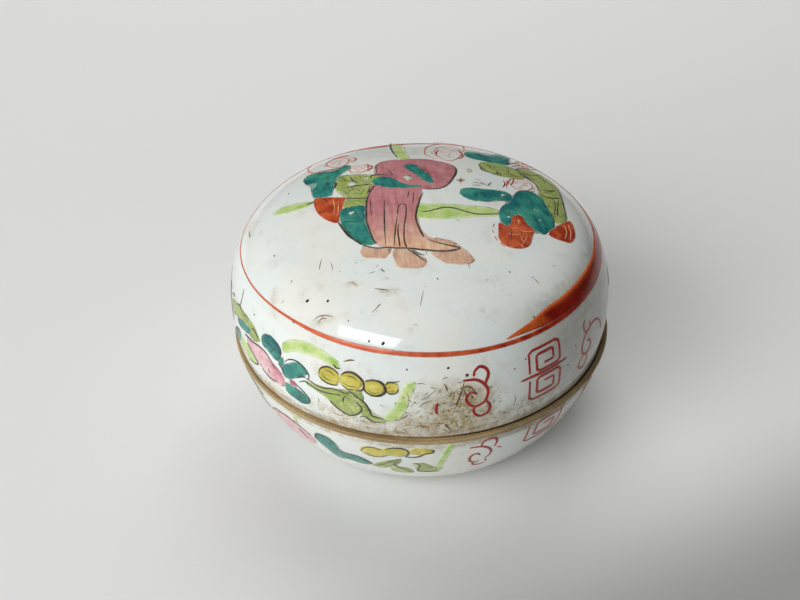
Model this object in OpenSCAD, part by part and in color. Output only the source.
// A round porcelain seal paste box: a domed lid that sits loose on a footed dish,
// and the cake of red paste in the dish's well. Z is up and the foot ring rests on z = 0.

/* [Seam] */
// Diameter of the lid's lower edge, where it meets the dish
seam_d = 85; // [65:0.5:105]
// Height of the seam above the table
seam_h = 23; // [19:0.5:28]
// Radial play between the lid's rim and the dish's flange
joint_clear = 0.9; // [0.4:0.1:1.4]
// Share of that play by which the lid has slid towards the left
lid_play_share = 0.35; // [-0.9:0.05:0.9]

/* [Lid] */
// Height of the lid from its rim to the top of the crown
lid_h = 32.5; // [26:0.5:38]
// Radius of the shallow crown
crown_r = 103; // [85:1:130]
// Radius of the shoulder between crown and side
shoulder_r = 15.3; // [11:0.1:19]
// Radius of the bulging side
side_r = 37; // [31:0.5:45]
// Height above the rim at which the side is widest
belly_h = 7.6; // [4:0.1:11]
// Thickness of the crown
crown_wall = 4; // [2.5:0.1:6]
// Thickness of the side wall
side_wall = 3.4; // [2.4:0.1:5]
// Rounding of the rim's two edges
rim_round = 0.6; // [0.2:0.1:1]

/* [Dish] */
// How far the dish's ledge stands out past the lid's edge
ledge_proud = 1.1; // [0:0.1:2.5]
// Rounding of the ledge's outer edge
ledge_round = 0.4; // [0.2:0.1:0.8]
// Height of the bare band under the ledge
band_h = 1.25; // [0.9:0.05:2.5]
// How far the bare band draws in over its height
band_inset = 0.4; // [0:0.1:1]
// Radius of the dish's side, seen from the side
bowl_r = 43.7; // [38:0.1:55]
// Lean of the dish's side where the glaze begins, in degrees off the upright
bowl_lean = 12; // [6:1:18]
// Radius of the turn between side and base
heel_r = 8; // [4:0.5:11]
// Thickness of the floor
floor_t = 3.4; // [2.5:0.1:5]
// Radius of the turn between the well's wall and its floor
well_fillet = 10; // [8:0.5:13]

/* [Flange] */
// Height of the flange above the ledge
flange_h = 4.5; // [3:0.1:7]
// Thickness of the flange
flange_t = 2.6; // [2:0.1:3.6]
// Rounding of the flange's two upper edges
flange_round = 0.8; // [0.3:0.1:0.9]

/* [Foot ring] */
// Outer diameter of the foot ring
foot_d = 58; // [48:0.5:62]
// Width of the foot ring's wall
foot_w = 3.4; // [2.4:0.1:5]
// Height of the foot ring on its outside
foot_h = 1.8; // [1.2:0.1:3]
// Depth of the recess inside the foot ring
recess_h = 2.2; // [1.5:0.1:3.5]
// Bevel along the foot ring's two lower edges
foot_bevel = 0.5; // [0.2:0.1:0.8]
// Rounding where the recess meets the foot ring
recess_round = 0.8; // [0.3:0.1:1.2]

/* [Paste] */
// Gap between the widest part of the paste and the well's wall
paste_gap = 6; // [4:0.5:9]
// Height of the cake of paste above the floor
paste_h = 15.4; // [11:0.1:17]
// How much tighter the paste's lower edge turns than the well does
paste_tuck = 3; // [2:0.5:4]

/* [Hidden] */
porcelain = "#E3E6E0";
paste_red = "#B3241B";
$fn = 144;
// Largest gap between an arc and the chords that draw it
arc_sag = 0.01;

// Lid, in heights above its own rim
seam_r = seam_d / 2;
crown_c = [0, lid_h - crown_r];
side_c = [seam_r - sqrt(side_r * side_r - belly_h * belly_h), belly_h];
inner_crown_r = crown_r - crown_wall;
inner_side_r = side_r - side_wall;
inner_shoulder_r = shoulder_r - side_wall;
rim_in_r = side_c[0] + sqrt(inner_side_r * inner_side_r - belly_h * belly_h);
lid_shift = -joint_clear * lid_play_share;

// Dish, in heights above the table
flange_r = rim_in_r - joint_clear;
flange_top = seam_h + flange_h;
well_r = flange_r - flange_t;
ledge_r = seam_r + ledge_proud;
bowl_start = [ledge_r - band_inset, seam_h - band_h];
bowl_c = bowl_start - bowl_r * [cos(-bowl_lean), sin(-bowl_lean)];
heel_z = foot_h + heel_r;
heel_drop = bowl_c[1] - heel_z;
heel_reach = bowl_r - heel_r;
heel_c = [bowl_c[0] + sqrt(heel_reach * heel_reach - heel_drop * heel_drop), heel_z];
foot_r = foot_d / 2;
foot_in_r = foot_r - foot_w;
// The heel ends at the bottom of its turn, or on a wider foot ring where it meets the ring
heel_end = foot_r > heel_c[0] ? -acos((foot_r - heel_c[0]) / heel_r) : -90;
floor_z = recess_h + floor_t;

// Paste
paste_r = well_r - paste_gap;
paste_round = well_fillet - paste_tuck;
paste_side_z = floor_z + paste_round;
paste_top = floor_z + paste_h;

// Point at an angle on a circle
function on_arc(c, r, a) = c + r * [cos(a), sin(a)];

// Points along an arc after its first point, which the outline before it has already reached
function arc(c, r, a0, a1) =
    let (n = max(3, ceil(abs(a1 - a0) / (2 * acos(1 - arc_sag / r)))))
    [for (i = [1:n]) on_arc(c, r, a0 + (a1 - a0) * i / n)];

// Angle of the line from one point to another
function bearing(from, to) = atan2(to[1] - from[1], to[0] - from[0]);

// Centre of an arc of radius r that blends the inside of one circle into the inside of another,
// on the right of the line from the second circle's centre to the first one's
function blend_centre(c1, r1, c2, r2, r) =
    let (
        reach1 = r1 - r,
        reach2 = r2 - r,
        line = c2 - c1,
        gap = norm(line),
        along = (reach1 * reach1 - reach2 * reach2 + gap * gap) / (2 * gap),
        aside = sqrt(reach1 * reach1 - along * along),
        u = line / gap
    )
    c1 + along * u + aside * [u[1], -u[0]];

// Half outline of a dome from its top to the height of its rounded edge:
// crown, shoulder and side are three arcs that run smoothly into each other
function dome(crown, shoulder, side) =
    let (
        c = blend_centre(crown_c, crown, side_c, side, shoulder),
        crown_end = bearing(crown_c, c),
        shoulder_end = bearing(side_c, c),
        side_end = -asin((belly_h - rim_round) / side)
    )
    concat(
        [on_arc(crown_c, crown, 90)],
        arc(crown_c, crown, 90, crown_end),
        arc(c, shoulder, crown_end, shoulder_end),
        arc(side_c, side, shoulder_end, side_end)
    );

// The same points from last to first
function reversed(points) = [for (i = [len(points) - 1:-1:0]) points[i]];

module turned(outline) {
    rotate_extrude()
        polygon(outline);
}

module lid_blank() {
    outside = dome(crown_r, shoulder_r, side_r);
    inside = dome(inner_crown_r, inner_shoulder_r, inner_side_r);
    out_r = outside[len(outside) - 1][0];
    in_r = inside[len(inside) - 1][0];
    turned(concat(
        outside,
        arc([out_r - rim_round, rim_round], rim_round, 0, -90),
        [[in_r + rim_round, 0]],
        arc([in_r + rim_round, rim_round], rim_round, -90, -180),
        reversed([for (i = [0:len(inside) - 2]) inside[i]])
    ));
}

module lid() {
    color(porcelain)
        translate([lid_shift, 0, seam_h])
            lid_blank();
}

module dish() {
    heel_start = bearing(bowl_c, heel_c);
    outside = concat(
        [[flange_r, seam_h], [ledge_r - ledge_round, seam_h]],
        arc([ledge_r - ledge_round, seam_h - ledge_round], ledge_round, 90, 0),
        [bowl_start],
        arc(bowl_c, bowl_r, -bowl_lean, heel_start),
        arc(heel_c, heel_r, heel_start, heel_end)
    );
    foot = concat(
        foot_r < heel_c[0] ? [[foot_r, foot_h]] : [],
        [[foot_r, foot_bevel], [foot_r - foot_bevel, 0]],
        [[foot_in_r + foot_bevel, 0], [foot_in_r, foot_bevel], [foot_in_r, recess_h - recess_round]],
        arc([foot_in_r - recess_round, recess_h - recess_round], recess_round, 0, 90),
        [[0, recess_h]]
    );
    well = concat(
        [[0, floor_z], [well_r - well_fillet, floor_z]],
        arc([well_r - well_fillet, floor_z + well_fillet], well_fillet, -90, 0),
        [[well_r, flange_top - flange_round]],
        arc([well_r + flange_round, flange_top - flange_round], flange_round, 180, 90),
        [[flange_r - flange_round, flange_top]],
        arc([flange_r - flange_round, flange_top - flange_round], flange_round, 90, 0)
    );
    color(porcelain)
        turned(concat(outside, foot, well));
}

module seal_paste() {
    dome_steps = 18;
    quarter = 90;
    color(paste_red)
        turned(concat(
            [[0, floor_z], [paste_r - paste_round, floor_z]],
            arc([paste_r - paste_round, paste_side_z], paste_round, -quarter, 0),
            [for (i = [1:dome_steps])
                let (a = quarter * i / dome_steps)
                [paste_r * cos(a), paste_side_z + (paste_top - paste_side_z) * sin(a)]]
        ));
}

dish();
lid();
seal_paste();
